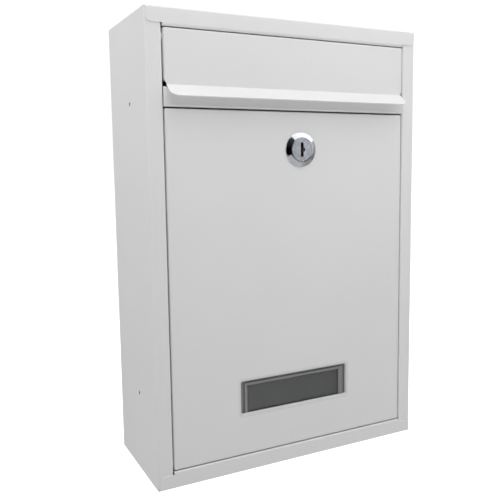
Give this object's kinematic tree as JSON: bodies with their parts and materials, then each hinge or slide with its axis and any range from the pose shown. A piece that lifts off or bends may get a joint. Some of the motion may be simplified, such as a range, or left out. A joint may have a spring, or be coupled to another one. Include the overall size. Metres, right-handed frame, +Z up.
{
  "type": "wall letter box",
  "caption": "Upright wall letter box in folded, white-painted sheet steel with a top-hung letter flap, a bottom-hinged locking door, a cam lock and a name window.",
  "frame": {"origin": "centre of the four wall holes, on the outside of the back", "axes": "+Z up, +Y into the wall so that the front faces -Y, +X to the right of someone facing the front"},
  "size_m": [0.216, 0.0973, 0.32],
  "materials": {
    "white_paint": "smooth semi-gloss white powder coat on sheet steel",
    "chrome": "polished chrome plate",
    "plug_metal": "satin nickel plate",
    "zinc_steel": "zinc-plated steel",
    "dark_plastic": "satin dark grey moulding",
    "clear_plastic": "clear sheet",
    "dark_insert": "blank matt dark grey strip"
  },
  "bodies": {
    "casing": {"body_shell": "white_paint", "top_panel": "white_paint", "bottom_panel": "white_paint", "cross_rail": "white_paint", "flap_pin_left": "white_paint", "flap_pin_right": "white_paint", "door_pin_left": "white_paint", "door_pin_right": "white_paint"},
    "flap": {"flap": "white_paint"},
    "door": {"door": "white_paint", "lock_housing": "chrome", "lock_clip": "zinc_steel", "name_frame": "dark_plastic", "name_window": "clear_plastic", "name_insert": "dark_insert"},
    "lock_core": {"lock_plug": "plug_metal", "stop_washer": "zinc_steel", "lock_cam": "zinc_steel", "cam_washer": "zinc_steel", "cam_screw": "zinc_steel"}
  },
  "joints": [
    {"name": "flap_hinge", "type": "hinge", "parent": "casing", "child": "flap", "pos_m": [0, -0.0831, 0.1425], "axis": [-1, 0, 0], "range_deg": [0, 100]},
    {"name": "door_hinge", "type": "hinge", "parent": "casing", "child": "door", "pos_m": [0, -0.0826, -0.1428], "axis": [1, 0, 0], "range_deg": [0, 95]},
    {"name": "lock_turn", "type": "hinge", "parent": "door", "child": "lock_core", "pos_m": [0.0052, -0.0873, 0.0703], "axis": [0, 1, 0], "range_deg": [0, 180]}
  ]
}
